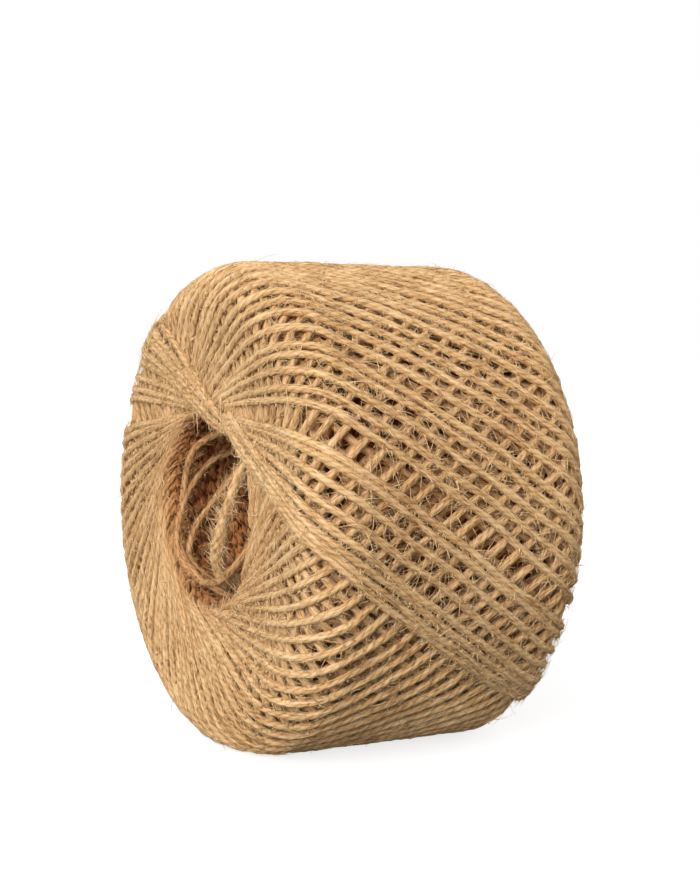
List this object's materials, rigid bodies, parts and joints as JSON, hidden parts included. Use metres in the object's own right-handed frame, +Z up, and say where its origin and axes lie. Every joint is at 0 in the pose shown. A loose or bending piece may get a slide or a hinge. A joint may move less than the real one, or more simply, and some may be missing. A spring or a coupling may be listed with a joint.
{
  "type": "roll of twine",
  "caption": "Machine-wound roll of natural jute twine lying on its barrel, with criss-cross turns, an open hole along its axis and a loose frayed inner end.",
  "frame": {"origin": "middle of the flat spot that the roll rests on, below the middle of its width", "axes": "+Z up, +X along the winding axis, away from the face where the loose end shows"},
  "size_m": [0.0628, 0.0975, 0.0941],
  "materials": {
    "twine": "dry plied natural fibre with loose hairs, sandy tan",
    "twine_end": "untwisted frayed natural fibre, deeper tan"
  },
  "bodies": {
    "root": {"wound_ball": "twine", "inner_end": "twine_end"}
  },
  "joints": []
}
